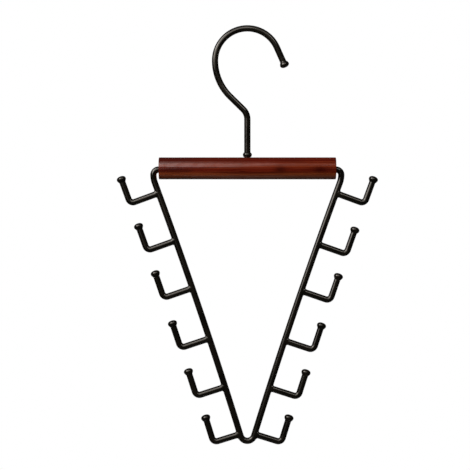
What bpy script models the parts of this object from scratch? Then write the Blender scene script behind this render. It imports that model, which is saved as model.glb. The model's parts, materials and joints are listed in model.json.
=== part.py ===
"""Multi-hook hanger: a swivelling rod hook, a turned wooden bar, and a V-shaped wire frame with twelve side hooks.

Metres, +Z up. The origin is the seat inside the crown of the rod hook, the point that rests on a rod.
The wires lie in the plane y = 0, and +X is to the right as seen from the front, looking along +Y.
"""

import math
from collections import namedtuple

import bmesh
import bpy
from mathutils import Matrix, Vector

# Wire, the same for the rod hook, the frame and the side hooks
WIRE_DIAMETER = 0.0055

# Fits: the gap between pieces that touch, and the play round what turns
SEAT_GAP = 0.0003
SWIVEL_CLEARANCE = 0.0004
SWING_CLEARANCE = 0.0003

# Rod hook: tail, crown, widening neck, slant, bend and straight stem down to the wood
CROWN_INNER_RADIUS = 0.0251
TAIL_ANGLE = math.radians(24.0)
TAIL_LENGTH = 0.0129
NECK_RADIUS = 0.0433
NECK_TURN = math.radians(45.6)
STEM_BEND_RADIUS = 0.0121
STEM_LENGTH = 0.0328

# Stop collar on the stem, a double cone with thin ends
COLLAR_HEIGHT = 0.0040
COLLAR_WALL = 0.0009
COLLAR_END_WALL = 0.00025

# Wooden bar
BAR_LENGTH = 0.1524
BAR_DIAMETER = 0.0190
BAR_CHAMFER = 0.0004
END_HOLE_DROP = 0.0010
END_HOLE_DEPTH = 0.0150

# Counterbore under the bar, with the washer, the peened end of the stem and the plug that hides them
COUNTERBORE_DEPTH = 0.0075
WASHER_WIDTH = 0.0016
WASHER_THICKNESS = 0.0010
PEEN_LIP = 0.0009
PEEN_HEIGHT = 0.0014

# Wire frame: two bowed legs, an eased bend at each shoulder and one bend at the foot
SHOULDER_STANDOFF = 0.0002
SHOULDER_INNER_RADIUS = 0.0018
SHOULDER_EASE_RADIUS = 0.0200
FRAME_DEPTH = 0.2338
FOOT_INNER_RADIUS = 0.0033
LEG_BOW = math.radians(3.0)

# Side hooks, welded square to the legs; the last pair is shorter, to clear the foot bend, and each side is
# set by hand, so the levels differ a little
ARM_LENGTH = 0.0261
LAST_ARM_LENGTH = 0.0241
UPRIGHT_HEIGHT = 0.0250
CORNER_INNER_RADIUS = 0.0013
FIRST_HOOK_SETBACK = 0.0095
LAST_HOOK_SETBACK = 0.0016
LEFT_LEVEL_SHARES = (0.0, 0.198, 0.396, 0.605, 0.805, 1.0)
RIGHT_LEVEL_SHARES = (0.0, 0.213, 0.408, 0.614, 0.809, 1.0)

# Domed button on each free end, pressed over a shouldered spigot
TIP_OVERHANG = 0.0014
TIP_HEIGHT = 0.0056
TIP_SOCKET_DEPTH = 0.0030
TIP_FLARE_SHARE = 0.42
TIP_RIM_SHARE = 0.06
SPIGOT_STEP = 0.0010

# Mesh fineness, and how far a cutter runs past what it cuts
WIRE_SIDES = 12
TURNED_SIDES = 16
BAR_SIDES = 40
BORE_SIDES = 24
ARC_STEP = math.radians(9.0)
CORNER_STEP = math.radians(15.0)
LEG_STEPS = 6
DOME_STEPS = 3
LEAN_ROUNDS = 20
CUT_OVERRUN = 0.0020
MERGE_DISTANCE = 0.000001
SHARP_ANGLE = math.radians(35.0)

QUARTER_TURN = math.pi / 2
HALF_TURN = math.pi
FULL_TURN = 2 * math.pi

# Radii that follow
WIRE_RADIUS = WIRE_DIAMETER / 2
CROWN_RADIUS = CROWN_INNER_RADIUS + WIRE_RADIUS
SHOULDER_RADIUS = SHOULDER_INNER_RADIUS + WIRE_RADIUS
FOOT_RADIUS = FOOT_INNER_RADIUS + WIRE_RADIUS
CORNER_RADIUS = CORNER_INNER_RADIUS + WIRE_RADIUS
SPIGOT_RADIUS = WIRE_RADIUS - SPIGOT_STEP
TIP_RADIUS = WIRE_RADIUS + TIP_OVERHANG
SWIVEL_BORE_RADIUS = WIRE_RADIUS + SWIVEL_CLEARANCE
WASHER_RADIUS = SWIVEL_BORE_RADIUS + WASHER_WIDTH
COUNTERBORE_RADIUS = WASHER_RADIUS + SEAT_GAP
PEEN_RADIUS = SWIVEL_BORE_RADIUS + PEEN_LIP
BAR_RADIUS = BAR_DIAMETER / 2
BAR_HALF = BAR_LENGTH / 2

# Levels that follow, down from the seat: the slant is as long as it takes to bring the stem under the seat
NECK_SHIFT = (NECK_RADIUS + STEM_BEND_RADIUS) * (1 - math.cos(NECK_TURN))
SLANT_LENGTH = (CROWN_RADIUS - NECK_SHIFT) / math.sin(NECK_TURN)
NECK_DROP = (NECK_RADIUS + STEM_BEND_RADIUS) * math.sin(NECK_TURN)
STEM_TOP_Z = -CROWN_INNER_RADIUS - NECK_DROP - SLANT_LENGTH * math.cos(NECK_TURN)
BAR_TOP_Z = STEM_TOP_Z - STEM_LENGTH
BAR_Z = BAR_TOP_Z - BAR_RADIUS
BAR_UNDERSIDE_Z = BAR_Z - BAR_RADIUS
WASHER_Z = BAR_UNDERSIDE_Z + COUNTERBORE_DEPTH - SEAT_GAP - WASHER_THICKNESS
PEEN_Z = WASHER_Z - SEAT_GAP
PLUG_TOP_Z = PEEN_Z - PEEN_HEIGHT - SEAT_GAP
SWING_AXIS_Z = BAR_Z - END_HOLE_DROP


# Helpers for materials, meshes and objects


def clear_scene():
    for obj in list(bpy.data.objects):
        bpy.data.objects.remove(obj, do_unlink=True)


def make_material(name, colour, roughness, metallic):
    material = bpy.data.materials.new(name)
    material.use_nodes = True
    shader = material.node_tree.nodes["Principled BSDF"]
    shader.inputs["Base Color"].default_value = (*colour, 1.0)
    shader.inputs["Roughness"].default_value = roughness
    shader.inputs["Metallic"].default_value = metallic
    return material


def finish_mesh(name, bm):
    """Turns a bmesh into a mesh with its faces out, shaded smooth where it is round."""
    bmesh.ops.recalc_face_normals(bm, faces=bm.faces)
    mesh = bpy.data.meshes.new(name)
    bm.to_mesh(mesh)
    bm.free()
    mesh.shade_smooth()
    mesh.set_sharp_from_angle(angle=SHARP_ANGLE)
    return mesh


def add_object(name, mesh, material=None, parent=None, place=(0.0, 0.0, 0.0), lean=0.0, spin=0.0):
    """Adds a named object at a world place, leaned about Y and then spun about Z."""
    obj = bpy.data.objects.new(name, mesh)
    bpy.context.scene.collection.objects.link(obj)
    if material and not mesh.materials:
        mesh.materials.append(material)
    obj.location = place
    if parent:
        obj.parent = parent
        obj.location = Vector(place) - parent.matrix_world.translation
    obj.rotation_euler = (0.0, lean, spin)
    bpy.context.view_layer.update()
    return obj


def add_axis(name, place, parent=None):
    """Adds an empty on a joint's axis, the parent of what moves about it."""
    axis = add_object(name, None, parent=parent, place=place)
    axis.empty_display_size = BAR_DIAMETER
    return axis


def cylinder_mesh(name, radius, length, sides, along_x=False):
    bm = bmesh.new()
    turn = Matrix.Rotation(QUARTER_TURN if along_x else 0.0, 4, "Y")
    bmesh.ops.create_cone(
        bm, cap_ends=True, segments=sides, radius1=radius, radius2=radius, depth=length, matrix=turn
    )
    return finish_mesh(name, bm)


def turned_mesh(name, profile, closed=False):
    """Spins (radius, height) points about Z; a closed profile joins its last point to its first."""
    bm = bmesh.new()
    points = [bm.verts.new((radius, 0.0, height)) for radius, height in profile]
    edges = [bm.edges.new(pair) for pair in zip(points, points[1:])]
    if closed:
        edges.append(bm.edges.new((points[-1], points[0])))
    bmesh.ops.spin(
        bm,
        geom=points + edges,
        cent=(0.0, 0.0, 0.0),
        axis=(0.0, 0.0, 1.0),
        angle=FULL_TURN,
        steps=TURNED_SIDES,
        use_merge=True,
    )
    bmesh.ops.remove_doubles(bm, verts=bm.verts, dist=MERGE_DISTANCE)
    return finish_mesh(name, bm)


def shape_with(obj, tool, operation="DIFFERENCE"):
    """Cuts an object with a tool, or keeps what lies inside it; the tool itself isn't part of the model."""
    tool.hide_render = True
    tool.display_type = "WIRE"
    modifier = obj.modifiers.new(tool.name, "BOOLEAN")
    modifier.operation = operation
    modifier.solver = "EXACT"
    modifier.object = tool


class WirePath:
    """Walks along a wire in the XZ plane and marks a ring, with its place, heading and radius, at each step."""

    def __init__(self, x, z, heading, radius):
        self.x = x
        self.z = z
        self.heading = heading
        self.radius = radius
        self.rings = []
        self.mark()

    def mark(self):
        self.rings.append((self.x, self.z, self.heading, self.radius))

    def advance(self, length):
        self.x += length * math.cos(self.heading)
        self.z += length * math.sin(self.heading)

    def line(self, length):
        self.advance(length)
        self.mark()

    def shoulder(self, radius):
        """Changes the radius in a flat step, as at a spigot or a head."""
        self.radius = radius
        self.mark()

    def taper(self, length, radius):
        self.advance(length)
        self.shoulder(radius)

    def arc(self, radius, turn, steps):
        """Bends by an angle, to the left if it is positive."""
        step = turn / steps
        chord = 2 * radius * math.sin(abs(step) / 2)
        for _ in range(steps):
            self.heading += step / 2
            self.advance(chord)
            self.heading += step / 2
            self.mark()

    def bend(self, radius, turn, largest_step=ARC_STEP):
        self.arc(radius, turn, math.ceil(abs(turn) / largest_step))

    def mesh(self, name):
        bm = bmesh.new()
        loops = []
        for x, z, heading, radius in self.rings:
            facing = Matrix.Rotation(QUARTER_TURN - heading, 4, "Y")
            placed = Matrix.Translation((x, 0.0, z)) @ facing
            ring = bmesh.ops.create_circle(bm, segments=WIRE_SIDES, radius=radius, matrix=placed)
            loops.append(ring["verts"])
        for near, far in zip(loops, loops[1:]):
            for i in range(WIRE_SIDES):
                bm.faces.new((near[i - 1], near[i], far[i], far[i - 1]))
        bm.faces.new(loops[0])
        bm.faces.new(loops[-1])
        return finish_mesh(name, bm)


# Rod hook: from the spigot at its free end, over the crown and down the stem to the peened end


def tail_point(reach):
    """Gives the place on the straight tail's centreline at a distance below the end of the crown."""
    x = CROWN_RADIUS * math.cos(TAIL_ANGLE) + reach * math.sin(TAIL_ANGLE)
    z = CROWN_RADIUS * math.sin(TAIL_ANGLE) - reach * math.cos(TAIL_ANGLE) - CROWN_INNER_RADIUS
    return x, z


def rod_hook_mesh():
    start_x, start_z = tail_point(TAIL_LENGTH + TIP_SOCKET_DEPTH)
    wire = WirePath(start_x, start_z, QUARTER_TURN + TAIL_ANGLE, SPIGOT_RADIUS)
    wire.line(TIP_SOCKET_DEPTH)
    wire.shoulder(WIRE_RADIUS)
    wire.line(TAIL_LENGTH)
    wire.bend(CROWN_RADIUS, HALF_TURN - TAIL_ANGLE)
    wire.bend(NECK_RADIUS, NECK_TURN)
    wire.line(SLANT_LENGTH)
    wire.bend(STEM_BEND_RADIUS, -NECK_TURN)
    wire.line(STEM_TOP_Z - PEEN_Z)
    wire.shoulder(PEEN_RADIUS)
    wire.line(PEEN_HEIGHT / 2)
    wire.taper(PEEN_HEIGHT / 2, WIRE_RADIUS)
    return wire.mesh("swivel_hook")


def add_rod_hook(tip, material):
    add_object("swivel_hook", rod_hook_mesh(), material)
    tip_x, tip_z = tail_point(TAIL_LENGTH + SEAT_GAP)
    add_object("hook_tip", tip, material, place=(tip_x, 0.0, tip_z), lean=HALF_TURN - TAIL_ANGLE)


def add_stop_collar(material):
    bore_radius = WIRE_RADIUS + SEAT_GAP
    end_radius = bore_radius + COLLAR_END_WALL
    profile = [
        (bore_radius, 0.0),
        (end_radius, 0.0),
        (bore_radius + COLLAR_WALL, COLLAR_HEIGHT / 2),
        (end_radius, COLLAR_HEIGHT),
        (bore_radius, COLLAR_HEIGHT),
    ]
    collar = turned_mesh("stop_collar", profile, closed=True)
    add_object("stop_collar", collar, material, place=(0.0, 0.0, BAR_TOP_Z + SEAT_GAP))


# Button: a socket for the spigot, a flared neck, a short rim and a dome


def tip_mesh():
    socket_radius = SPIGOT_RADIUS + SEAT_GAP
    flare_height = TIP_HEIGHT * TIP_FLARE_SHARE
    dome_base = flare_height + TIP_HEIGHT * TIP_RIM_SHARE
    profile = [
        (0.0, TIP_SOCKET_DEPTH),
        (socket_radius, TIP_SOCKET_DEPTH),
        (socket_radius, 0.0),
        (WIRE_RADIUS, 0.0),
        (TIP_RADIUS, flare_height),
    ]
    for step in range(DOME_STEPS + 1):
        rise = QUARTER_TURN * step / DOME_STEPS
        height = dome_base + (TIP_HEIGHT - dome_base) * math.sin(rise)
        profile.append((TIP_RADIUS * math.cos(rise), height))
    return turned_mesh("tip", profile)


# Wooden bar: chamfered ends, a bore for the stem, a counterbore below and a blind hole in each end


def add_bar(material, swivel_axis):
    blank = cylinder_mesh("wood_bar", BAR_RADIUS, BAR_LENGTH, BAR_SIDES, along_x=True)
    bar = add_object("wood_bar", blank, material, swivel_axis, (0.0, 0.0, BAR_Z))
    chamfer = bar.modifiers.new("end_chamfer", "BEVEL")
    chamfer.width = BAR_CHAMFER
    chamfer.segments = 1
    chamfer.limit_method = "ANGLE"
    chamfer.angle_limit = SHARP_ANGLE

    bore_length = BAR_DIAMETER + 2 * CUT_OVERRUN
    bore = cylinder_mesh("stem_bore_cutter", SWIVEL_BORE_RADIUS, bore_length, BORE_SIDES)
    shape_with(bar, add_object("stem_bore_cutter", bore, parent=bar, place=(0.0, 0.0, BAR_Z)))

    depth = COUNTERBORE_DEPTH + CUT_OVERRUN
    counterbore = cylinder_mesh("counterbore_cutter", COUNTERBORE_RADIUS, depth, BORE_SIDES)
    place = (0.0, 0.0, BAR_UNDERSIDE_Z + COUNTERBORE_DEPTH - depth / 2)
    shape_with(bar, add_object("counterbore_cutter", counterbore, parent=bar, place=place))

    depth = END_HOLE_DEPTH + CUT_OVERRUN
    hole = cylinder_mesh("end_hole_cutter", WIRE_RADIUS + SWING_CLEARANCE, depth, BORE_SIDES, along_x=True)
    hole_x = BAR_HALF - END_HOLE_DEPTH + depth / 2
    for name, x in (("left_end_hole_cutter", -hole_x), ("right_end_hole_cutter", hole_x)):
        shape_with(bar, add_object(name, hole, parent=bar, place=(x, 0.0, SWING_AXIS_Z)))


def add_washer(material, swivel_axis):
    profile = [
        (SWIVEL_BORE_RADIUS, 0.0),
        (WASHER_RADIUS, 0.0),
        (WASHER_RADIUS, WASHER_THICKNESS),
        (SWIVEL_BORE_RADIUS, WASHER_THICKNESS),
    ]
    washer = turned_mesh("stem_washer", profile, closed=True)
    add_object("stem_washer", washer, material, swivel_axis, (0.0, 0.0, WASHER_Z))


def add_plug(material, swivel_axis):
    """Adds the wooden plug, a disc whose lower face follows the bar's round underside."""
    length = PLUG_TOP_Z - BAR_UNDERSIDE_Z + CUT_OVERRUN
    blank = cylinder_mesh("bar_plug", COUNTERBORE_RADIUS - SEAT_GAP, length, BORE_SIDES)
    plug = add_object("bar_plug", blank, material, swivel_axis, (0.0, 0.0, PLUG_TOP_Z - length / 2))
    outside = cylinder_mesh("bar_outside", BAR_RADIUS, BAR_LENGTH, BAR_SIDES, along_x=True)
    guide = add_object("bar_outside", outside, parent=plug, place=(0.0, 0.0, BAR_Z))
    shape_with(plug, guide, "INTERSECT")


# Frame: each leg is a long arc between its shoulder and the foot bend

Leg = namedtuple("Leg", "top_x top_z top_lean foot_lean radius length")


def solve_leg():
    """Finds the lean at which a bowed leg meets both its shoulder and the foot bend square."""
    shoulder_x = BAR_HALF + SHOULDER_STANDOFF + SHOULDER_RADIUS
    shoulder_z = SWING_AXIS_Z - SHOULDER_RADIUS
    foot_z = SWING_AXIS_Z - FRAME_DEPTH + FOOT_RADIUS
    lean = math.atan2(shoulder_x, FRAME_DEPTH)
    for _ in range(LEAN_ROUNDS):
        top_lean = lean + LEG_BOW / 2
        foot_lean = lean - LEG_BOW / 2
        top_x = shoulder_x - SHOULDER_EASE_RADIUS * (1 - math.cos(top_lean))
        top_z = shoulder_z - SHOULDER_EASE_RADIUS * math.sin(top_lean)
        run = top_x - FOOT_RADIUS * math.cos(foot_lean)
        fall = top_z - foot_z + FOOT_RADIUS * math.sin(foot_lean)
        lean = math.atan2(run, fall)
    radius = math.hypot(run, fall) / (2 * math.sin(LEG_BOW / 2))
    return Leg(top_x, top_z, top_lean, foot_lean, radius, radius * LEG_BOW)


def frame_mesh(leg):
    """Sweeps the frame from the right bar end, down, round the foot and up into the left bar end."""
    start_x = BAR_HALF - END_HOLE_DEPTH + SEAT_GAP
    end_run = BAR_HALF + SHOULDER_STANDOFF - start_x
    wire = WirePath(start_x, 0.0, 0.0, WIRE_RADIUS)
    wire.line(end_run)
    wire.bend(SHOULDER_RADIUS, -QUARTER_TURN, CORNER_STEP)
    wire.bend(SHOULDER_EASE_RADIUS, -leg.top_lean)
    wire.arc(leg.radius, LEG_BOW, LEG_STEPS)
    wire.bend(FOOT_RADIUS, 2 * leg.foot_lean - HALF_TURN, CORNER_STEP)
    wire.arc(leg.radius, LEG_BOW, LEG_STEPS)
    wire.bend(SHOULDER_EASE_RADIUS, -leg.top_lean)
    wire.bend(SHOULDER_RADIUS, -QUARTER_TURN, CORNER_STEP)
    wire.line(end_run)
    return wire.mesh("v_frame")


def leg_station(leg, distance):
    """Gives the place on the right leg's centreline, and its lean there, at a distance down from its top."""
    turned = distance / leg.radius
    chord = 2 * leg.radius * math.sin(turned / 2)
    chord_lean = leg.top_lean - turned / 2
    x = leg.top_x - chord * math.sin(chord_lean)
    z = leg.top_z - chord * math.cos(chord_lean)
    return x, z, leg.top_lean - turned


# Side hook, in its own frame: the arm runs out along X from the leg's centreline, the upright rises along Z


def side_hook_mesh(name, arm_length):
    wire = WirePath(0.0, 0.0, 0.0, WIRE_RADIUS)
    wire.line(arm_length - CORNER_RADIUS)
    wire.bend(CORNER_RADIUS, QUARTER_TURN, CORNER_STEP)
    wire.line(UPRIGHT_HEIGHT - CORNER_RADIUS - TIP_HEIGHT - SEAT_GAP)
    wire.shoulder(SPIGOT_RADIUS)
    wire.line(TIP_SOCKET_DEPTH)
    blank = add_object("side_hook_blank", wire.mesh("side_hook_blank"))

    saddle_radius = (WIRE_RADIUS + SEAT_GAP) / math.cos(HALF_TURN / BORE_SIDES)
    saddle_length = WIRE_DIAMETER + 2 * CUT_OVERRUN
    saddle = add_object("saddle_cutter", cylinder_mesh("saddle", saddle_radius, saddle_length, BORE_SIDES))
    shape_with(blank, saddle)
    saddled = blank.evaluated_get(bpy.context.evaluated_depsgraph_get())
    mesh = bpy.data.meshes.new_from_object(saddled)
    mesh.name = name
    for scrap in (blank, saddle):
        bpy.data.objects.remove(scrap, do_unlink=True)
    return mesh


def add_side_hooks(leg, tip, material, swing_axis):
    hook = side_hook_mesh("side_hook", ARM_LENGTH)
    last_hook = side_hook_mesh("last_side_hook", LAST_ARM_LENGTH)
    run = leg.length - FIRST_HOOK_SETBACK - LAST_HOOK_SETBACK
    seat = UPRIGHT_HEIGHT - TIP_HEIGHT
    for name, side, level_shares in (("left", -1, LEFT_LEVEL_SHARES), ("right", 1, RIGHT_LEVEL_SHARES)):
        spin = 0.0 if side > 0 else HALF_TURN
        for number, share in enumerate(level_shares, start=1):
            is_last = number == len(level_shares)
            arm_length = LAST_ARM_LENGTH if is_last else ARM_LENGTH
            mesh = last_hook if is_last else hook
            x, z, lean = leg_station(leg, FIRST_HOOK_SETBACK + run * share)
            place = (side * x, 0.0, z)
            add_object(f"{name}_hook_{number}", mesh, material, swing_axis, place, lean, spin)
            tip_x = x + arm_length * math.cos(lean) + seat * math.sin(lean)
            tip_z = z - arm_length * math.sin(lean) + seat * math.cos(lean)
            place = (side * tip_x, 0.0, tip_z)
            add_object(f"{name}_tip_{number}", tip, material, swing_axis, place, lean, spin)


def build():
    clear_scene()
    enamel = make_material("black_enamel", (0.012, 0.012, 0.013), 0.32, 0.0)
    lacquer = make_material("lacquered_wood", (0.120, 0.018, 0.008), 0.22, 0.0)
    zinc = make_material("zinc_plate", (0.55, 0.56, 0.57), 0.35, 1.0)
    swivel_axis = add_axis("swivel_axis", (0.0, 0.0, BAR_Z))
    swing_axis = add_axis("swing_axis", (0.0, 0.0, SWING_AXIS_Z), swivel_axis)
    tip = tip_mesh()

    add_rod_hook(tip, enamel)
    add_stop_collar(enamel)

    add_bar(lacquer, swivel_axis)
    add_washer(zinc, swivel_axis)
    add_plug(lacquer, swivel_axis)

    leg = solve_leg()
    add_object("v_frame", frame_mesh(leg), enamel, swing_axis, (0.0, 0.0, SWING_AXIS_Z))
    add_side_hooks(leg, tip, enamel, swing_axis)


build()
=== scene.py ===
# %% [markdown]
# # A multi-hook hanger, dressed for its portrait
#
# The object is a wire hanger for belts and scarves. It hangs by a round hook. A turned wooden bar swivels
# under the hook, and a V-shaped wire frame swings from the two ends of the bar. Twelve small side hooks are
# welded to the frame, and every free wire end wears a domed button, so that nothing snags.
#
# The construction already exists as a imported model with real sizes. It is loaded here as a fixed frame that
# we measure but never move. Its wires are twelve-sided, which is right for a physics engine and too coarse
# for a picture, so this script models smooth pieces in the same places and gives them their finishes.

# %% Load the frame
import json
import math

import bpy
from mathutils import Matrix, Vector


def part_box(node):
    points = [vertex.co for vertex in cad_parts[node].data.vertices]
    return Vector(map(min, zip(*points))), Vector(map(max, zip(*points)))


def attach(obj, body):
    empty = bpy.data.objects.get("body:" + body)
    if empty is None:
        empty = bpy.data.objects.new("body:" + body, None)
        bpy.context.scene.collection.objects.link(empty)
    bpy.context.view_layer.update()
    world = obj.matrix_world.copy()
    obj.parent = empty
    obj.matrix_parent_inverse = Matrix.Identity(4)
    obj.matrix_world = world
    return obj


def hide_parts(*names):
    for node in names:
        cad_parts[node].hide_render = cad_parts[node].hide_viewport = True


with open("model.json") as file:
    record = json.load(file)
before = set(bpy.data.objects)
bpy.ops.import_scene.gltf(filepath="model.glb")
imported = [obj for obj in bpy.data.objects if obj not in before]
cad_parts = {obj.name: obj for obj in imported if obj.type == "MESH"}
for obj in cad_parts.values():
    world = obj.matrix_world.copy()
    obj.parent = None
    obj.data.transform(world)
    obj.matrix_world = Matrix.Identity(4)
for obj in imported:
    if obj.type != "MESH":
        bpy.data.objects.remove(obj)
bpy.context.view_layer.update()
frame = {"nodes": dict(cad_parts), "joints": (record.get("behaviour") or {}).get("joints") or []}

# %% [markdown]
# ## Read the sizes off the frame
#
# Every size that a node's box can tell us is read from the box, so the pictures follow the model if it
# changes. The wire's radius is half the thickness of the frame. The joints give the line on which the frame
# swings.

# %% Sizes from the frame
MM = 1000

frame_low, frame_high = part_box("v_frame")
bar_low, bar_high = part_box("wood_bar")
hook_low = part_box("swivel_hook")[0]
plug_low, plug_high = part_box("bar_plug")
collar_low, collar_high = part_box("stop_collar")
joint_places = {joint["name"]: Vector(joint["pos_m"]) for joint in frame["joints"]}

WIRE_RADIUS = (frame_high.y - frame_low.y) / 2
BAR_HALF = bar_high.x
BAR_RADIUS = (bar_high.y - bar_low.y) / 2
BAR_Z = (bar_low.z + bar_high.z) / 2
SWING_Z = joint_places["frame_swing"].z
print(f"wire {WIRE_RADIUS * 2 * MM:.2f} mm, bar {BAR_HALF * 2 * MM:.1f} x {BAR_RADIUS * 2 * MM:.1f} mm")

# %% [markdown]
# ## Shader maths as plain expressions
#
# A procedural material is a small formula. Wiring each plus and times by hand buries it, so this class
# wraps one output socket and turns Python's operators into Math nodes. Any other kind of node comes from
# `node`, which sets the node's options first and then its inputs, each of which is a value or a link.

# %% The socket class
class Signal:
    def __init__(self, tree, socket=None):
        self.tree = tree
        self.socket = socket

    def node(self, kind, options=None, inputs=None, output=0):
        made = self.tree.nodes.new(kind)
        for name, value in (options or {}).items():
            setattr(made, name, value)
        for name, value in (inputs or {}).items():
            if isinstance(value, Signal):
                self.tree.links.new(value.socket, made.inputs[name])
            else:
                made.inputs[name].default_value = value
        return Signal(self.tree, made.outputs[output])

    def math(self, operation, first, second=0.0):
        return self.node("ShaderNodeMath", {"operation": operation}, {0: first, 1: second})

    def __add__(self, other):
        return self.math("ADD", self, other)

    def __radd__(self, other):
        return self.math("ADD", other, self)

    def __sub__(self, other):
        return self.math("SUBTRACT", self, other)

    def __mul__(self, other):
        return self.math("MULTIPLY", self, other)

    def __neg__(self):
        return self.math("SUBTRACT", 0.0, self)

    def __truediv__(self, other):
        return self.math("DIVIDE", self, other)

    def __rpow__(self, other):
        return self.math("POWER", other, self)


print("shader maths ready")

# %% [markdown]
# Every material here starts the same way: one Principled shader, the object's own coordinates in metres,
# and a noise that can be stretched along any axis. Object coordinates suit these pieces, because each has
# its place in its mesh, so a pattern runs through neighbouring pieces at one scale. `level` eases a value
# from one span onto another. A span below is written as from and to, followed by the two new values where
# they aren't 0 and 1.

# %% Helpers for every material
def new_finish(name, **constants):
    finish = bpy.data.materials.new(name)
    finish.use_nodes = True
    shader = finish.node_tree.nodes["Principled BSDF"]
    for socket, value in constants.items():
        shader.inputs[socket.replace("_", " ")].default_value = value
    signal = Signal(finish.node_tree)
    where = signal.node("ShaderNodeTexCoord", output="Object")
    return finish, shader, where


def feed(shader, socket, signal):
    signal.tree.links.new(signal.socket, shader.inputs[socket])


def stretched(where, scale, offset=(0, 0, 0)):
    return where.node("ShaderNodeMapping", None, {"Vector": where, "Scale": scale, "Location": offset})


def noise(where, scale, detail=2.0, roughness=0.5):
    values = {"Vector": where, "Scale": scale, "Detail": detail, "Roughness": roughness}
    return where.node("ShaderNodeTexNoise", None, values)


def level(signal, low, high, new_low=0.0, new_high=1.0):
    values = {"Value": signal, "From Min": low, "From Max": high, "To Min": new_low, "To Max": new_high}
    return signal.node("ShaderNodeMapRange", {"interpolation_type": "SMOOTHSTEP"}, values)


def blend_colour(mask, first, second):
    colours = [value if isinstance(value, Signal) else (*value, 1) for value in (first, second)]
    values = {0: mask, 6: colours[0], 7: colours[1]}
    return mask.node("ShaderNodeMix", {"data_type": "RGBA"}, values, output=2)


def bump(height, distance):
    return height.node("ShaderNodeBump", None, {"Height": height, "Distance": distance, "Strength": 1.0})


print("material helpers ready")

# %% [markdown]
# ## Black enamel
#
# The wires are dipped or powder coated: a semi-gloss black that has flowed smooth but not perfectly flat.
# Up close it has the skin of an orange, with bumps about a millimetre apart and a few microns high. That
# skin is what breaks a highlight into a slightly uneven line. A slower noise makes some stretches a little
# duller than others, as handling does. The black leans to brown, and so do its reflections.

# %% Enamel material
PEEL_SCALE = 850
PEEL_HEIGHT = 0.000012
HANDLING_SCALE = 70
JET = (0.0026, 0.0021, 0.0013)
HANDLED_BLACK = (0.0074, 0.0057, 0.0036)
WARM_SHEEN = (1.0, 0.92, 0.82, 1)
HANDLED_SPAN = (0.35, 0.70)
SHEEN_SPAN = (0.30, 0.70)
ENAMEL_ROUGHNESS = (0.10, 0.18)


def black_enamel():
    finish, shader, where = new_finish("enamel", Specular_IOR_Level=0.5, Specular_Tint=WARM_SHEEN)
    peel = noise(where, PEEL_SCALE, 2.0)
    handling = noise(where, HANDLING_SCALE, 3.0)
    feed(shader, "Base Color", blend_colour(level(handling, *HANDLED_SPAN), JET, HANDLED_BLACK))
    feed(shader, "Roughness", level(handling, *SHEEN_SPAN, *ENAMEL_ROUGHNESS))
    feed(shader, "Normal", bump(peel, PEEL_HEIGHT))
    return finish


enamel = black_enamel()
print("made", enamel.name, "with", len(enamel.node_tree.nodes), "nodes")

# %% [markdown]
# ## Lacquered wood
#
# The bar is turned from a close-grained hardwood, stained a deep red-brown and sealed with clear lacquer.
# Three things make it read as wood. Growth rings run the length of the bar as slow light and dark bands,
# and two wave textures of different widths draw them. Fibres and pores are fine dark dashes, many times
# longer than they are wide. And the stain soaks in unevenly, so the colour drifts from maroon to a warmer
# brown, with a few dark spots. All of them are on coordinates that are squeezed along the grain.
#
# Some slow changes come from the bar's own height and length, and three of them paint light and shade into
# the colour. The upper side is darkened, least so at the right end: that is painted shade. The underside is
# lightened towards the right: that is painted light from below. The brown growth bands are kept to the lower
# half and made lighter there, which is real grain with painted light from below on it. The lacquer is the
# shader's own coat layer, and it was rubbed on by hand: its weight is mottled, and it falls off from the left
# end to the right.

# %% Wood material
GROWTH_SCALE = 34
DARK_LINE = 0.0017
RING_SCALE = 150
FIBRE_SCALE = 900
PORE_SCALE = 1500
DRIFT_SCALE = 16
MOTTLE_SCALE = 330
GRAIN_STRETCH = (0.35, 1, 1)
FIBRE_STRETCH = (0.02, 1, 1)
PORE_STRETCH = (0.035, 1, 1)
DRIFT_STRETCH = (1, 3, 3)
MOTTLE_STRETCH = (0.5, 1, 1)
PORE_DEPTH = 0.00002

DARK_MARKS = ((0.0282, 0.0052), (0.0625, 0.0075), (-0.0640, 0.0170))
MARK_RISE = -0.0012
MARK_HEIGHT = 0.0030
# Painted shade: these three spans darken the bar's upper side, least so at the right end.
TOP_SHADE_LEFT = (-0.058, -0.030, 1.0, 0.6)
TOP_SHADE_RIGHT = (0.036, 0.062, 1.0, 0.1)
TOP_SHADE_RISE = (0.0010, 0.0062)
# Real growth bands, kept to the lower half and lightened there: painted light from below on real grain.
BAND_AND_UNDERLIGHT_RISE = (-0.0026, 0.0004, 0.95, 0.22)
# Painted light from below: these two spans lighten the underside, towards the right end.
UNDERSIDE_LIGHT_RISE = (-0.0088, -0.0058, 0.85, 0.0)
UNDERSIDE_LIGHT_ALONG = (-0.055, 0.005)
GLOSS_LEFT = (-0.085, 0.005, 1.78, 0.66)
GLOSS_RIGHT = (0.030, 0.070, 1.0, 0.65)

STAIN_SPAN = (0.35, 0.65)
GROWTH_SPAN = (0.15, 0.95)
RING_SPAN = (0.5, 1.0)
FIBRE_SPAN = (0.42, 0.70)
PORE_SPAN = (0.66, 0.76)
WOOD_ROUGHNESS = (0.3, 0.7, 0.36, 0.52)
COAT_SPAN = (0.38, 0.66, 0.56, 0.36)
# The first strength is for the painted shade on the bar's upper side.
TOP_SHADE_STRENGTH = 0.85
RING_STRENGTH = 0.35
FIBRE_STRENGTH = 0.5
PORE_STRENGTH = 0.7
MARK_STRENGTH = 0.8

WOOD_SHEEN = (1.0, 0.25, 0.12, 1)
MAROON = (0.078, 0.0038, 0.0012)
RED = (0.125, 0.0068, 0.0020)
# Brown of the growth bands, made lighter to paint in light from below.
BROWN_WITH_UNDERLIGHT = (0.320, 0.0640, 0.0150)
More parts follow.
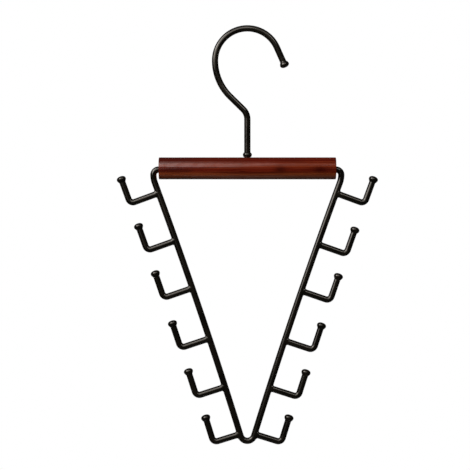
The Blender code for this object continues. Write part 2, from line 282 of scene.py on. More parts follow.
# Colour of the painted shade on the bar's upper side.
PAINTED_TOP_SHADE = (0.030, 0.0022, 0.0012)
PALE_RING = (0.230, 0.0440, 0.0120)
# Colour of the painted light from below on the underside.
PAINTED_UNDERSIDE_LIGHT = (0.480, 0.170, 0.110)
DARK_FIBRE = (0.040, 0.0035, 0.0015)
PORE = (0.016, 0.0020, 0.0012)
MARK = (0.028, 0.0015, 0.0008)


def lacquered_wood():
    finish, shader, where = new_finish(
        "wood", Coat_Roughness=0.15, Coat_IOR=1.5, Specular_IOR_Level=0.15, Specular_Tint=WOOD_SHEEN
    )
    grain = stretched(where, GRAIN_STRETCH, (0, 0, DARK_LINE - BAR_Z))
    bands = {"wave_type": "BANDS", "bands_direction": "Z", "wave_profile": "SIN"}
    figure = {"Vector": grain, "Scale": GROWTH_SCALE, "Distortion": 1.2, "Detail": 2.0, "Detail Scale": 1.2}
    growth = where.node("ShaderNodeTexWave", bands, figure, output="Fac")
    fine = {"Vector": grain, "Scale": RING_SCALE, "Distortion": 3.0, "Detail": 3.0, "Detail Scale": 0.8}
    rings = where.node("ShaderNodeTexWave", bands, fine, output="Fac")
    fibres = noise(stretched(where, FIBRE_STRETCH), FIBRE_SCALE, 3.0, 0.6)
    pores = level(noise(stretched(where, PORE_STRETCH), PORE_SCALE, 1.0), *PORE_SPAN)
    drift = noise(stretched(where, DRIFT_STRETCH), DRIFT_SCALE, 2.0)
    mottle = noise(stretched(where, MOTTLE_STRETCH), MOTTLE_SCALE, 2.0)

    axes = where.node("ShaderNodeSeparateXYZ", None, {"Vector": where}).socket.node.outputs
    along = Signal(where.tree, axes["X"])
    rise = Signal(where.tree, axes["Z"]) - BAR_Z
    height = (rise - MARK_RISE) / MARK_HEIGHT
    marks = 0.0
    for place, spread in DARK_MARKS:
        offset = (along - place) / spread
        marks = marks + math.e ** -(offset * offset + height * height)
    # Painted shade: the upper side is darker, least so at the right end.
    top_shade = level(rise, *TOP_SHADE_RISE) * (level(along, *TOP_SHADE_LEFT) * level(along, *TOP_SHADE_RIGHT))

    stain = blend_colour(level(drift, *STAIN_SPAN), MAROON, RED)
    # Growth bands only in the lower half: real grain with painted light from below.
    banded_and_underlit = blend_colour(level(growth, *GROWTH_SPAN) * level(rise, *BAND_AND_UNDERLIGHT_RISE), stain, BROWN_WITH_UNDERLIGHT)
    ringed = blend_colour(level(rings, *RING_SPAN) * RING_STRENGTH, banded_and_underlit, PALE_RING)
    # Paints the shade onto the upper side.
    top_shaded = blend_colour(top_shade * TOP_SHADE_STRENGTH, ringed, PAINTED_TOP_SHADE)
    # Painted light from below: the underside is lightened towards the right.
    underside_light = level(rise, *UNDERSIDE_LIGHT_RISE) * level(along, *UNDERSIDE_LIGHT_ALONG)
    underside_lit = blend_colour(underside_light, top_shaded, PAINTED_UNDERSIDE_LIGHT)
    fibrous = blend_colour(level(fibres, *FIBRE_SPAN) * FIBRE_STRENGTH, underside_lit, DARK_FIBRE)
    pored = blend_colour(pores * PORE_STRENGTH, fibrous, PORE)
    feed(shader, "Base Color", blend_colour(marks * MARK_STRENGTH, pored, MARK))
    feed(shader, "Roughness", level(fibres, *WOOD_ROUGHNESS))
    gloss = level(along, *GLOSS_LEFT) * level(along, *GLOSS_RIGHT)
    feed(shader, "Coat Weight", level(mottle, *COAT_SPAN) * gloss)
    feed(shader, "Normal", bump(fibres - pores, PORE_DEPTH))
    return finish


wood = lacquered_wood()
print("made", wood.name, "with", len(wood.node_tree.nodes), "nodes")

# %% [markdown]
# ## Zinc plate
#
# One washer hides inside the bar, under the wooden plug. It keeps its CAD shape and gets a bright zinc
# finish: a metal whose roughness changes in small crystals, which is what gives plated parts their frosty
# sparkle.

# %% Zinc material
SPANGLE_SCALE = 2500
SPANGLE_HEIGHT = 0.000003
GREY_ZINC = (0.50, 0.51, 0.53)
BRIGHT_ZINC = (0.66, 0.67, 0.68)
ZINC_ROUGHNESS = (0.28, 0.45)


def zinc_plate():
    finish, shader, where = new_finish("zinc", Metallic=1.0)
    cells = {"Vector": where, "Scale": SPANGLE_SCALE}
    crystals = where.node("ShaderNodeTexVoronoi", None, cells, output="Color")
    tone = crystals.node("ShaderNodeSeparateColor", None, {"Color": crystals})
    feed(shader, "Base Color", blend_colour(tone, GREY_ZINC, BRIGHT_ZINC))
    feed(shader, "Roughness", level(tone, 0.0, 1.0, *ZINC_ROUGHNESS))
    feed(shader, "Normal", bump(tone, SPANGLE_HEIGHT))
    return finish


zinc = zinc_plate()
frame["nodes"]["stem_washer"].material_slots[0].material = zinc
print("made", zinc.name, "for the washer inside the bar")

# %% [markdown]
# ## A wire bender
#
# A bent wire is fed forward, bent round a roller, fed again and cut. Blender has the same two moves in edit
# mode: extrude pushes the end face forward, and spin swings it round a centre while it leaves a tube
# behind. So the class below starts from a flat disc and keeps only two facts, where the end is and which
# way it points. The other common way is a curve with a bevel. It is quicker to draw, but the weld and the
# spigots need real faces at the ends, and here each bend has an exact radius.
#
# Everything is in the plane y = 0, so a heading is one angle: 0 is along +X and a quarter turn is up.

# %% The bender
WIRE_SIDES = 32
ARC_STEP = math.radians(3)
ARC_FLATNESS = 0.00001
QUARTER_TURN = math.pi / 2
MERGE_DISTANCE = 0.000001
WIRE_SMOOTH_ANGLE = math.radians(40)


def deselect_all():
    if bpy.context.mode != "OBJECT":
        bpy.ops.object.mode_set(mode="OBJECT")
    bpy.ops.object.select_all(action="DESELECT")


def facing(direction):
    return direction.to_track_quat("Z", "Y").to_euler()


def finish_piece(piece, smooth_angle=WIRE_SMOOTH_ANGLE):
    """Merges doubles, turns the faces out, applies the place and shades the piece smooth."""
    bpy.ops.mesh.select_all(action="SELECT")
    bpy.ops.mesh.remove_doubles(threshold=MERGE_DISTANCE)
    bpy.ops.mesh.normals_make_consistent(inside=False)
    bpy.ops.object.mode_set(mode="OBJECT")
    bpy.ops.object.transform_apply(location=True, rotation=True, scale=True)
    bpy.ops.object.shade_smooth_by_angle(angle=smooth_angle)
    return piece


class Bender:
    def __init__(self, name, x, z, heading, radius):
        self.place = Vector((x, 0, z))
        self.heading = heading
        self.radius = radius
        deselect_all()
        bpy.ops.mesh.primitive_circle_add(
            vertices=WIRE_SIDES,
            radius=radius,
            fill_type="NGON",
            location=self.place,
            rotation=facing(self.direction()),
        )
        self.piece = bpy.context.object
        self.piece.name = name
        bpy.ops.object.mode_set(mode="EDIT")
        bpy.ops.mesh.select_all(action="SELECT")

    def direction(self):
        return Vector((math.cos(self.heading), 0, math.sin(self.heading)))

    def feed(self, length):
        step = self.direction() * length
        bpy.ops.mesh.extrude_region_move(TRANSFORM_OT_translate={"value": step})
        self.place += step

    def bend(self, radius, turn):
        """Turns left for a positive angle, and right for a negative one."""
        reach = math.copysign(radius, turn)
        centre = self.place + Vector((-math.sin(self.heading), 0, math.cos(self.heading))) * reach
        step = min(ARC_STEP, 2 * math.sqrt(2 * ARC_FLATNESS / radius))
        steps = math.ceil(abs(turn) / step)
        bpy.ops.mesh.spin(steps=steps, angle=turn, center=centre, axis=(0, 1, 0))
        self.heading += turn
        self.place = centre + Vector((math.sin(self.heading), 0, -math.cos(self.heading))) * reach

    def swage(self, radius, length=0.0):
        """Presses the end to another radius, over a length or as a flat shoulder."""
        self.feed(length)
        share = radius / self.radius
        bpy.ops.transform.resize(value=(share, share, share), center_override=self.place)
        self.radius = radius

    def cut(self):
        return finish_piece(self.piece)


print("wire sides", WIRE_SIDES, "arc step", round(math.degrees(ARC_STEP), 1), "degrees")

# %% [markdown]
# A finished piece needs its material, the body that it moves with, and the node that it stands for, which it
# hides. One call does all three, and prints how far its box is from the node's box, which catches a wrong
# bend at once.


def dress(piece, finish, body, node):
    piece.data.materials.clear()
    piece.data.materials.append(finish)
    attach(piece, body)
    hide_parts(node)
    low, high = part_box(node)
    points = [vertex.co for vertex in piece.data.vertices]
    gaps = []
    for axis in range(3):
        gaps.append(min(point[axis] for point in points) - low[axis])
        gaps.append(max(point[axis] for point in points) - high[axis])
    print(f"{piece.name}: {len(piece.data.polygons)} faces, box off by {max(map(abs, gaps)) * MM:.2f} mm")


# %% [markdown]
# ## The top hook
#
# On the real hanger this is one length of wire. It starts at the free end with a spigot for the button,
# goes up a short straight tail, over the crown, back under through a wider neck and a slant, and
# straightens into the stem. The slant is as long as it takes to bring the stem exactly under the crown's
# centre, so its length is worked out and not typed. Inside the bar the stem ends in a small peened head,
# which keeps it from pulling out.
#
# Bends can't be read off a box, so they are listed here, as a bender would write them on a card.

# %% Top hook
CROWN_RADIUS = 0.0251 + WIRE_RADIUS
TAIL_ANGLE = math.radians(24)
TAIL_LENGTH = 0.0129
NECK_RADIUS = 0.0433
NECK_TURN = math.radians(45.6)
STEM_BEND_RADIUS = 0.0121
PEEN_LIP = 0.0013
PEEN_HEIGHT = 0.0014
SPIGOT_RADIUS = WIRE_RADIUS - 0.0010
SOCKET_DEPTH = 0.0030
SEAT_GAP = 0.0003
JOINT_LINE = 0.00004


def top_hook():
    reach = TAIL_LENGTH + SOCKET_DEPTH
    crown_z = -CROWN_RADIUS + WIRE_RADIUS
    start_x = CROWN_RADIUS * math.cos(TAIL_ANGLE) + reach * math.sin(TAIL_ANGLE)
    start_z = CROWN_RADIUS * math.sin(TAIL_ANGLE) - reach * math.cos(TAIL_ANGLE) + crown_z
    shift = (NECK_RADIUS + STEM_BEND_RADIUS) * (1 - math.cos(NECK_TURN))
    slant = (CROWN_RADIUS - shift) / math.sin(NECK_TURN)

    wire = Bender("top_hook_wire", start_x, start_z, QUARTER_TURN + TAIL_ANGLE, SPIGOT_RADIUS)
    wire.feed(SOCKET_DEPTH - SEAT_GAP + JOINT_LINE)
    wire.swage(WIRE_RADIUS)
    wire.feed(TAIL_LENGTH + SEAT_GAP - JOINT_LINE)
    wire.bend(CROWN_RADIUS, math.pi - TAIL_ANGLE)
    wire.bend(NECK_RADIUS, NECK_TURN)
    wire.feed(slant)
    wire.bend(STEM_BEND_RADIUS, -NECK_TURN)
    wire.feed(wire.place.z - hook_low.z - PEEN_HEIGHT)
    wire.swage(WIRE_RADIUS + PEEN_LIP)
    wire.feed(PEEN_HEIGHT / 2)
    wire.swage(WIRE_RADIUS, PEEN_HEIGHT / 2)
    return wire.cut()


hook_wire = top_hook()
dress(hook_wire, enamel, "rod_hook", "swivel_hook")

# %% [markdown]
# ## Turned pieces
#
# The buttons and the collar on the stem are round about one axis. This lathe starts from a circle and
# follows a profile of radius and height pairs. Each pair is one extrude of the last ring and one resize of
# it. A profile may come back to its first circle, or shrink to a point, and the doubles merge there.

# %% The lathe
def lathe(name, place, profile, sides, capped):
    deselect_all()
    radius, height = profile[0]
    fill = "NGON" if capped else "NOTHING"
    centre = Vector(place)
    bpy.ops.mesh.primitive_circle_add(
        vertices=sides, radius=radius, fill_type=fill, location=centre + Vector((0, 0, height))
    )
    piece = bpy.context.object
    piece.name = name
    bpy.ops.object.mode_set(mode="EDIT")
    bpy.ops.mesh.select_all(action="SELECT")
    for new_radius, new_height in profile[1:]:
        bpy.ops.mesh.extrude_region_move(TRANSFORM_OT_translate={"value": (0, 0, new_height - height)})
        share = new_radius / radius
        bpy.ops.transform.resize(value=(share, share, 1), center_override=centre)
        radius, height = new_radius, new_height
    return finish_piece(piece)


print("lathe ready")

# %% [markdown]
# ## The button
#
# A button is a flared neck and a low dome, pressed over the wire's end and coated with it. It could start
# as a ball that is squashed and cut, but its dome is flatter on top than a ball's, so the lathe turns it
# instead. A sine draws the neck, from the wire's size to the widest ring. The dome is a superellipse, which
# is an ellipse with fuller shoulders. The socket inside is turned first, because the profile starts at its
# blind end.

# %% Model one button
TIP_RADIUS = WIRE_RADIUS + 0.0013
TIP_HEIGHT = 0.0056
DOME_SIDES = 48
DOME_RINGS = 20
DOME_POWER = 2 / 2.2
BULB_SHARE = 0.51
BULB_STEPS = 14
BULB_POWER = 1.25


def model_button():
    socket = SPIGOT_RADIUS + SEAT_GAP
    widest = TIP_HEIGHT * BULB_SHARE
    profile = [(socket, SOCKET_DEPTH), (socket, 0.0), (WIRE_RADIUS, 0.0)]
    for step in range(1, BULB_STEPS + 1):
        share = step / BULB_STEPS
        swell = math.sin(QUARTER_TURN * share) ** BULB_POWER
        profile.append((WIRE_RADIUS + (TIP_RADIUS - WIRE_RADIUS) * swell, widest * share))
    for step in range(1, DOME_RINGS + 1):
        turn = QUARTER_TURN * step / DOME_RINGS
        radius = TIP_RADIUS * math.cos(turn) ** DOME_POWER
        lift = (TIP_HEIGHT - widest) * math.sin(turn) ** DOME_POWER
        profile.append((radius, widest + lift))
    return lathe("button", (0, 0, 0), profile, DOME_SIDES, capped=True)


button = model_button()
print("button", len(button.data.polygons), "faces,", round(button.dimensions.z * MM, 2), "mm high")

# %% [markdown]
# Repeats are copied from the finished model, each with its own mesh. A copy is turned and moved to its
# place, and then the move is applied, so that the object sits at the origin and its place is in its mesh. A
# lean turns a piece about Y, and pieces on the left are spun half round about Z as well, which mirrors them
# in this plane.

# %% Place copies
def place_copy(model, name, place, lean, spin):
    deselect_all()
    model.select_set(True)
    bpy.context.view_layer.objects.active = model
    bpy.ops.object.duplicate()
    copy = bpy.context.object
    copy.name = name
    copy.rotation_euler = (0, lean, spin)
    copy.location = place
    bpy.ops.object.transform_apply(location=True, rotation=True, scale=True)
    return copy


reach = TAIL_LENGTH + SEAT_GAP
tip_place = Vector((
    CROWN_RADIUS * math.cos(TAIL_ANGLE) + reach * math.sin(TAIL_ANGLE),
    0,
    CROWN_RADIUS * math.sin(TAIL_ANGLE) - reach * math.cos(TAIL_ANGLE) - CROWN_RADIUS + WIRE_RADIUS,
))
top_button = place_copy(button, "top_hook_button", tip_place, math.pi - TAIL_ANGLE, 0)
dress(top_button, enamel, "rod_hook", "hook_tip")

# %% [markdown]
# ## The stop collar
#
# The collar is a small ring that rests on the bar and keeps the hook from sinking into it. In the CAD it is
# a double cone with a sharp waist. A real one is pressed from a ring, so it swells and shrinks in one round
# curve and its upper end is thinner than its foot. Half a sine wave draws that curve, with an end radius
# for each half.

# %% Stop collar
COLLAR_FOOT = WIRE_RADIUS + 0.00050
COLLAR_TOP = WIRE_RADIUS + 0.00018
COLLAR_EDGE = 0.00010
COLLAR_STEPS = 14
COLLAR_SIDES = 48


def stop_collar():
    bore = WIRE_RADIUS + JOINT_LINE
    widest = (collar_high.x - collar_low.x) / 2
    tall = collar_high.z - collar_low.z
    profile = [(bore, 0.0), (COLLAR_FOOT - COLLAR_EDGE, 0.0), (COLLAR_FOOT, COLLAR_EDGE)]
    for step in range(1, COLLAR_STEPS):
        share = step / COLLAR_STEPS
        end = COLLAR_FOOT if share < 0.5 else COLLAR_TOP
        profile.append((end + (widest - end) * math.sin(math.pi * share), tall * share))
    profile += [(COLLAR_TOP, tall - COLLAR_EDGE), (COLLAR_TOP - COLLAR_EDGE, tall), (bore, tall), (bore, 0.0)]
    return lathe("stem_collar", (0, 0, collar_low.z), profile, COLLAR_SIDES, capped=False)


collar = stop_collar()
dress(collar, enamel, "rod_hook", "stop_collar")

# %% [markdown]
# ## The wooden bar
#
# The bar is a length of dowel. A cylinder primitive is the right start, and the work is in its ends: the
# sharp rim is bevelled as sandpaper would do it, and a blind hole takes the frame's wire. The stem's bore
# and the counterbore underneath are cut with the exact Boolean, applied at once so that the mesh is final.

# %% Bar and its bores
BAR_SIDES = 96
BORE_SIDES = 48
BAR_SMOOTH_ANGLE = math.radians(30)
RIM_ROUND = 0.0005
RIM_STEPS = 4
END_FACING = 0.9
STEM_BORE_RADIUS = WIRE_RADIUS + 0.0004
STEM_BORE_LENGTH = BAR_RADIUS * 3
END_BORE_RADIUS = WIRE_RADIUS + SEAT_GAP
END_HOLE_DEPTH = 0.0150
COUNTERBORE_DEPTH = 0.0075
OVERRUN = 0.002


def cylinder(name, radius, length, place, along, sides):
    deselect_all()
    bpy.ops.mesh.primitive_cylinder_add(
        vertices=sides, radius=radius, depth=length, location=place, rotation=facing(Vector(along))
    )
    piece = bpy.context.object
    piece.name = name
    bpy.ops.object.transform_apply(location=True, rotation=True, scale=True)
    return piece


def carve(piece, tool, operation="DIFFERENCE"):
    modifier = piece.modifiers.new("carve", "BOOLEAN")
    modifier.operation = operation
    modifier.solver = "EXACT"
    modifier.object = tool
    deselect_all()
    bpy.context.view_layer.objects.active = piece
    piece.select_set(True)
    bpy.ops.object.modifier_apply(modifier=modifier.name)
    bpy.data.objects.remove(tool, do_unlink=True)


def select_faces(piece, wanted):
    """Selects, in edit mode, the faces whose centre and normal pass a test."""
    bpy.ops.object.mode_set(mode="EDIT")
    bpy.ops.mesh.select_mode(type="FACE")
    bpy.ops.mesh.select_all(action="DESELECT")
    bpy.ops.object.mode_set(mode="OBJECT")
    for face in piece.data.polygons:
        face.select = wanted(face.center, face.normal)
    bpy.ops.object.mode_set(mode="EDIT")


def wooden_bar():
    bar = cylinder("bar", BAR_RADIUS, BAR_HALF * 2, (0, 0, BAR_Z), (1, 0, 0), BAR_SIDES)
    select_faces(bar, lambda centre, normal: abs(normal.x) > END_FACING)
    bpy.ops.mesh.region_to_loop()
    bpy.ops.mesh.bevel(offset=RIM_ROUND, segments=RIM_STEPS, affect="EDGES")
    bpy.ops.object.mode_set(mode="OBJECT")

    place = (0, 0, BAR_Z)
    carve(bar, cylinder("stem_bore", STEM_BORE_RADIUS, STEM_BORE_LENGTH, place, (0, 0, 1), BORE_SIDES))
    radius = plug_high.x + SEAT_GAP
    depth = COUNTERBORE_DEPTH + OVERRUN
    place = (0, 0, BAR_Z - BAR_RADIUS + COUNTERBORE_DEPTH - depth / 2)
    carve(bar, cylinder("counterbore", radius, depth, place, (0, 0, 1), BORE_SIDES))
    depth = END_HOLE_DEPTH + OVERRUN
    for side in (-1, 1):
        place = (side * (BAR_HALF - END_HOLE_DEPTH + depth / 2), 0, SWING_Z)
        carve(bar, cylinder("end_bore", END_BORE_RADIUS, depth, place, (1, 0, 0), BORE_SIDES))
    bpy.ops.object.mode_set(mode="EDIT")
    return finish_piece(bar, BAR_SMOOTH_ANGLE)


bar = wooden_bar()
dress(bar, wood, "cross_bar", "wood_bar")

# %% [markdown]
# ## The plug under the bar
#
# A disc of the same wood closes the counterbore. It is glued in and then sanded flush with the round
# underside, so only a hairline circle shows from below. To get the same curve, a plain disc is intersected
# with a cylinder of the bar's own radius.

# %% Plug
def bar_plug():
    radius = plug_high.x + SEAT_GAP - JOINT_LINE
    height = plug_high.z - plug_low.z + OVERRUN
    plug = cylinder("plug", radius, height, (0, 0, plug_high.z - height / 2), (0, 0, 1), BORE_SIDES)
    outside = cylinder("outside", BAR_RADIUS, BAR_HALF, (0, 0, BAR_Z), (1, 0, 0), BAR_SIDES)
    carve(plug, outside, "INTERSECT")
    bpy.ops.object.mode_set(mode="EDIT")
    return finish_piece(plug, BAR_SMOOTH_ANGLE)


plug = bar_plug()
dress(plug, wood, "cross_bar", "bar_plug")

# %% [markdown]
# ## The frame
#
# One long wire runs out of the right end of the bar, turns down in a tight bend, eases inwards, follows a
# very slightly bowed leg to the foot, and comes back up the same way. The lean of a leg isn't a free
# choice: it has to leave the shoulder and meet the foot smoothly. A few rounds of guessing and correcting
# find it, which is simpler to read than the exact formula, and just as exact after a few rounds.

# %% Lean of the legs
SHOULDER_RADIUS = 0.0018 + WIRE_RADIUS
SHOULDER_EASE_RADIUS = 0.0200
SHOULDER_STANDOFF = 0.0002
FOOT_RADIUS = 0.0033 + WIRE_RADIUS
LEG_BOW = math.radians(3)
LEAN_ROUNDS = 20


def solve_leg():
    shoulder_x = BAR_HALF + SHOULDER_STANDOFF + SHOULDER_RADIUS
    shoulder_z = SWING_Z - SHOULDER_RADIUS
    foot_z = frame_low.z + WIRE_RADIUS + FOOT_RADIUS
    lean = math.atan2(shoulder_x, shoulder_z - foot_z)
    for _ in range(LEAN_ROUNDS):
        top_lean = lean + LEG_BOW / 2
        foot_lean = lean - LEG_BOW / 2
        ease = SHOULDER_EASE_RADIUS * (1 - math.cos(top_lean))
        run = shoulder_x - ease - FOOT_RADIUS * math.cos(foot_lean)
        top_z = shoulder_z - SHOULDER_EASE_RADIUS * math.sin(top_lean)
        fall = top_z - foot_z + FOOT_RADIUS * math.sin(foot_lean)
        lean = math.atan2(run, fall)
    radius = math.hypot(run, fall) / (2 * math.sin(LEG_BOW / 2))
    return top_lean, foot_lean, radius


top_lean, foot_lean, leg_radius = solve_leg()
print(f"leg leans {math.degrees(top_lean):.2f} at the top, {math.degrees(foot_lean):.2f} at the foot")

# %% Frame wire
def v_frame():
    start_x = BAR_HALF - END_HOLE_DEPTH + SEAT_GAP
    end_run = BAR_HALF + SHOULDER_STANDOFF - start_x
    wire = Bender("frame_wire", start_x, SWING_Z, 0, WIRE_RADIUS)
    wire.feed(end_run)
    wire.bend(SHOULDER_RADIUS, -QUARTER_TURN)
    wire.bend(SHOULDER_EASE_RADIUS, -top_lean)
    wire.bend(leg_radius, LEG_BOW)
    wire.bend(FOOT_RADIUS, 2 * foot_lean - math.pi)
    wire.bend(leg_radius, LEG_BOW)
    wire.bend(SHOULDER_EASE_RADIUS, -top_lean)
    wire.bend(SHOULDER_RADIUS, -QUARTER_TURN)
    wire.feed(end_run)
    return wire.cut()


frame_wire = v_frame()
dress(frame_wire, enamel, "hook_frame", "v_frame")

# %% [markdown]
# ## The side hooks
#
# A side hook is a short wire, resistance welded end-on to the leg, bent up at its far end and capped with a
# button. Under pressure and heat the end settles into the leg, and the enamel bridges the corner with a
# small fillet. The hook is modelled in its own frame: the leg is the line x = 0, the arm runs out along +X
# and the upright rises along +Z. The arm is fed from the leg's centre in short steps that start tall and
# narrow to the wire's size, which draws the fillet, and a cylinder of the leg's radius then cuts the saddle
# that sits on it.
#
# Only the height is flared. Wire and leg are equally thick, so seen from above they are already flush.

# %% Model a side hook
ARM_LENGTH = 0.0261
LAST_ARM_LENGTH = 0.0241
UPRIGHT_HEIGHT = 0.0250
CORNER_RADIUS = 0.0013 + WIRE_RADIUS
FILLET = 0.0011
FILLET_STEPS = 6
SADDLE_TOOL_LENGTH = WIRE_RADIUS * 6


def model_side_hook(name, arm_length):
    wire = Bender(name, 0, 0, 0, WIRE_RADIUS)
    now = 1 + FILLET / WIRE_RADIUS
    bpy.ops.transform.resize(value=(1, 1, now), center_override=wire.place)
    wire.feed(WIRE_RADIUS)
    for step in range(1, FILLET_STEPS + 1):
        turn = QUARTER_TURN * step / FILLET_STEPS
        last = QUARTER_TURN * (step - 1) / FILLET_STEPS
        wire.feed(FILLET * (math.cos(last) - math.cos(turn)))
        height = 1 + FILLET * (1 - math.sin(turn)) / WIRE_RADIUS
        bpy.ops.transform.resize(value=(1, 1, height / now), center_override=wire.place)
        now = height
    wire.feed(arm_length - CORNER_RADIUS - wire.place.x)
    wire.bend(CORNER_RADIUS, QUARTER_TURN)
    wire.feed(UPRIGHT_HEIGHT - CORNER_RADIUS - TIP_HEIGHT - JOINT_LINE)
    wire.swage(SPIGOT_RADIUS)
    wire.feed(SOCKET_DEPTH - SEAT_GAP + JOINT_LINE)
    bpy.ops.object.mode_set(mode="OBJECT")
    bpy.ops.object.transform_apply(location=True, rotation=True, scale=True)
    carve(wire.piece, cylinder("leg", WIRE_RADIUS, SADDLE_TOOL_LENGTH, (0, 0, 0), (0, 0, 1), WIRE_SIDES))
    bpy.ops.object.mode_set(mode="EDIT")
    return finish_piece(wire.piece)


side_hook = model_side_hook("side_hook", ARM_LENGTH)
last_side_hook = model_side_hook("last_side_hook", LAST_ARM_LENGTH)
print("side hook", len(side_hook.data.polygons), "faces")

# %% [markdown]
# Each hook leans with the leg, and the levels are a little uneven, as hand work is. Both facts are already
# in the frame, so they are read from it: the flat end of a hook's spigot is its highest face, its normal
# points along the upright, and the middle of its rim is a point on the upright's centreline.

# %% Where each hook stands
RIM_TOLERANCE = 0.00002
LAST_HOOK = 6


def free_end(node):
    mesh = frame["nodes"][node].data
    top = max(mesh.polygons, key=lambda face: face.center.z)
    normal = top.normal.copy()
    points = [vertex.co for vertex in mesh.vertices]
    rim = [point for point in points if abs((point - top.center).dot(normal)) < RIM_TOLERANCE]
    low = Vector(map(min, zip(*rim)))
    high = Vector(map(max, zip(*rim)))
    return (low + high) / 2, normal


def stand_hook(side, number, model, arm_length):
    label = "left" if side < 0 else "right"
    end, up = free_end(f"{label}_hook_{number}")
    out = Vector((side * up.z, 0, -side * up.x))
    lean = math.atan2(side * up.x, up.z)
    spin = math.pi if side < 0 else 0
    spigot_top = UPRIGHT_HEIGHT - TIP_HEIGHT - SEAT_GAP + SOCKET_DEPTH
    hook_place = end - up * spigot_top - out * arm_length
    seat_place = end - up * (SOCKET_DEPTH - SEAT_GAP)
    wire = place_copy(model, f"{label}_hook_wire_{number}", hook_place, lean, spin)
    dress(wire, enamel, "hook_frame", f"{label}_hook_{number}")
    cap = place_copy(button, f"{label}_button_{number}", seat_place, lean, spin)
    dress(cap, enamel, "hook_frame", f"{label}_tip_{number}")


for side in (-1, 1):
    for number in range(1, LAST_HOOK):
        stand_hook(side, number, side_hook, ARM_LENGTH)
    stand_hook(side, LAST_HOOK, last_side_hook, LAST_ARM_LENGTH)
for model in (button, side_hook, last_side_hook):
    bpy.data.objects.remove(model, do_unlink=True)
print("stood twelve hooks and twelve buttons")

# %% [markdown]
# ## Studio
#
# The picture was taken straight on from the front. The camera stands 1.3 m away, level with the middle of
# the picture, and its lens is the one that makes one picture pixel 0.862 mm wide at the hanger.

# %% Camera
PIXEL = 0.000862
PICTURE_PIXELS = 470
CAMERA_DISTANCE = 1.3
SENSOR = 36.0
ORIGIN_PIXEL = (247.35, 31.55)

middle = PICTURE_PIXELS / 2
camera_x = (middle - ORIGIN_PIXEL[0]) * PIXEL
camera_z = (ORIGIN_PIXEL[1] - middle) * PIXEL
camera_data = bpy.data.cameras.new("camera")
camera_data.sensor_width = SENSOR
camera_data.lens = SENSOR * CAMERA_DISTANCE / (PICTURE_PIXELS * PIXEL)
camera = bpy.data.objects.new("camera", camera_data)
camera.location = (camera_x, -CAMERA_DISTANCE, camera_z)
camera.rotation_euler = (QUARTER_TURN, 0, 0)
bpy.context.scene.collection.objects.link(camera)
bpy.context.scene.camera = camera
print(f"lens {camera_data.lens:.1f} mm at {camera_x * MM:.1f}, {camera_z * MM:.1f} mm")

# %% [markdown]
# Black enamel shows its lamps and little else, so each lamp here was placed by a highlight in the picture.
# Two big softboxes stand high on the left with a tall strip where they meet, and they draw the long lines
# on the wires and the broad band on the bar. A small lamp in front of the side box gives the buttons their
# bright spots. A board below the boxes and cards above and below soften the ends of those lines. Right of
# the camera, a weak fill and one small board light the wires that lean the other way. A lamp's power is
# worked out from how bright its face should look, so a bigger lamp isn't a brighter one.

# %% Lamps
AIM = Vector((0, 0, -0.17))


def add_lamp(name, left, up, distance, width, height, brightness):
    """Stands a rectangular lamp at angles left of the camera and above the level, turned to the hanger."""
    left, up = math.radians(left), math.radians(up)
    away = Vector((-math.sin(left) * math.cos(up), -math.cos(left) * math.cos(up), math.sin(up)))
    data = bpy.data.lights.new(name, "AREA")
    data.shape = "RECTANGLE"
    data.size = width
    data.size_y = height
    data.energy = brightness * math.pi * width * height
    lamp = bpy.data.objects.new(name, data)
    lamp.location = AIM + away * distance
    lamp.rotation_euler = away.to_track_quat("Z", "Y").to_euler()
    bpy.context.scene.collection.objects.link(lamp)
    print(f"{name}: {data.energy:.1f} W")


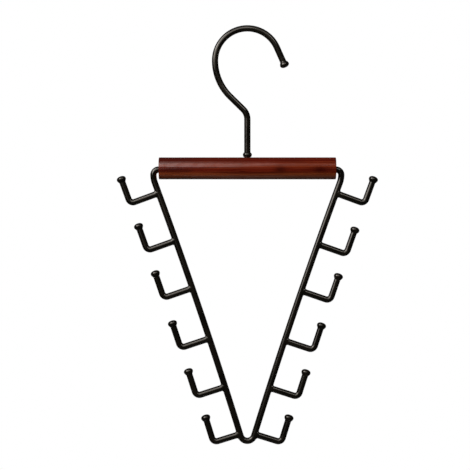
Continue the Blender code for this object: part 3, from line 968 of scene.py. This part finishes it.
add_lamp("front_softbox", left=17.5, up=33, distance=1.30, width=0.86, height=0.94, brightness=2.7)
add_lamp("side_softbox", left=55, up=34, distance=1.30, width=0.88, height=0.90, brightness=3.2)
add_lamp("strip", left=46, up=29, distance=1.28, width=0.38, height=1.12, brightness=3.8)
add_lamp("low_board", left=45, up=14.5, distance=1.27, width=0.90, height=0.16, brightness=0.9)
add_lamp("top_card", left=18, up=63, distance=1.30, width=0.60, height=0.40, brightness=0.9)
add_lamp("fill", left=-13, up=39, distance=1.30, width=0.60, height=0.66, brightness=1.1)
add_lamp("right_board", left=-30, up=36, distance=1.28, width=0.33, height=0.24, brightness=4.6)
add_lamp("lamp", left=57, up=33, distance=1.25, width=0.20, height=0.20, brightness=15.0)
add_lamp("low_card", left=24, up=-4, distance=1.30, width=0.50, height=0.13, brightness=0.8)

# %% [markdown]
# The ground is white. A camera ray that misses everything sees white. Reflected rays see the same white,
# but only on the side behind the hanger, where the white ground stands. The rest of the room stays dim,
# because black enamel shows every light in a room. The floor is far below and fades out at its rim, so that
# no horizon shows.

# %% World and floor
ROOM = 0.04
GROUND_EDGE = 0.90
GROUND_FULL = 0.98
FLOOR_Z = -1.20
FLOOR_SIZE = 2.0
FLOOR_SOLID = 0.10
FLOOR_RIM = 0.45
FLOOR_COLOUR = (0.86, 0.86, 0.86, 1)


def white_room():
    world = bpy.data.worlds.new("room")
    world.use_nodes = True
    bpy.context.scene.world = world
    tree = world.node_tree
    signal = Signal(tree)
    rays = signal.node("ShaderNodeLightPath").socket.node.outputs
    camera_ray = Signal(tree, rays["Is Camera Ray"])
    mirrored = Signal(tree, rays["Is Glossy Ray"]) + Signal(tree, rays["Is Transmission Ray"])
    direction = signal.node("ShaderNodeTexCoord", output="Generated")
    axes = signal.node("ShaderNodeSeparateXYZ", None, {"Vector": direction}).socket.node.outputs
    behind = level(Signal(tree, axes["Y"]), GROUND_EDGE, GROUND_FULL)
    seen = signal.math("MINIMUM", camera_ray + mirrored * behind, 1.0)
    background = tree.nodes["Background"]
    background.inputs["Color"].default_value = (1, 1, 1, 1)
    tree.links.new((ROOM + seen * (1 - ROOM)).socket, background.inputs["Strength"])


def pale_floor():
    finish, shader, where = new_finish(
        "pale_floor", Base_Color=FLOOR_COLOUR, Roughness=0.8, Specular_IOR_Level=0.2
    )
    distance = where.node("ShaderNodeVectorMath", {"operation": "LENGTH"}, {0: where}, output="Value")
    feed(shader, "Alpha", level(distance, FLOOR_SOLID, FLOOR_RIM, 1.0, 0.0))
    deselect_all()
    bpy.ops.mesh.primitive_plane_add(size=FLOOR_SIZE, location=(0, 0, FLOOR_Z))
    floor = bpy.context.object
    floor.name = "floor"
    floor.data.materials.append(finish)


white_room()
pale_floor()
bpy.context.scene.view_settings.view_transform = "Standard"
print("stage ready")
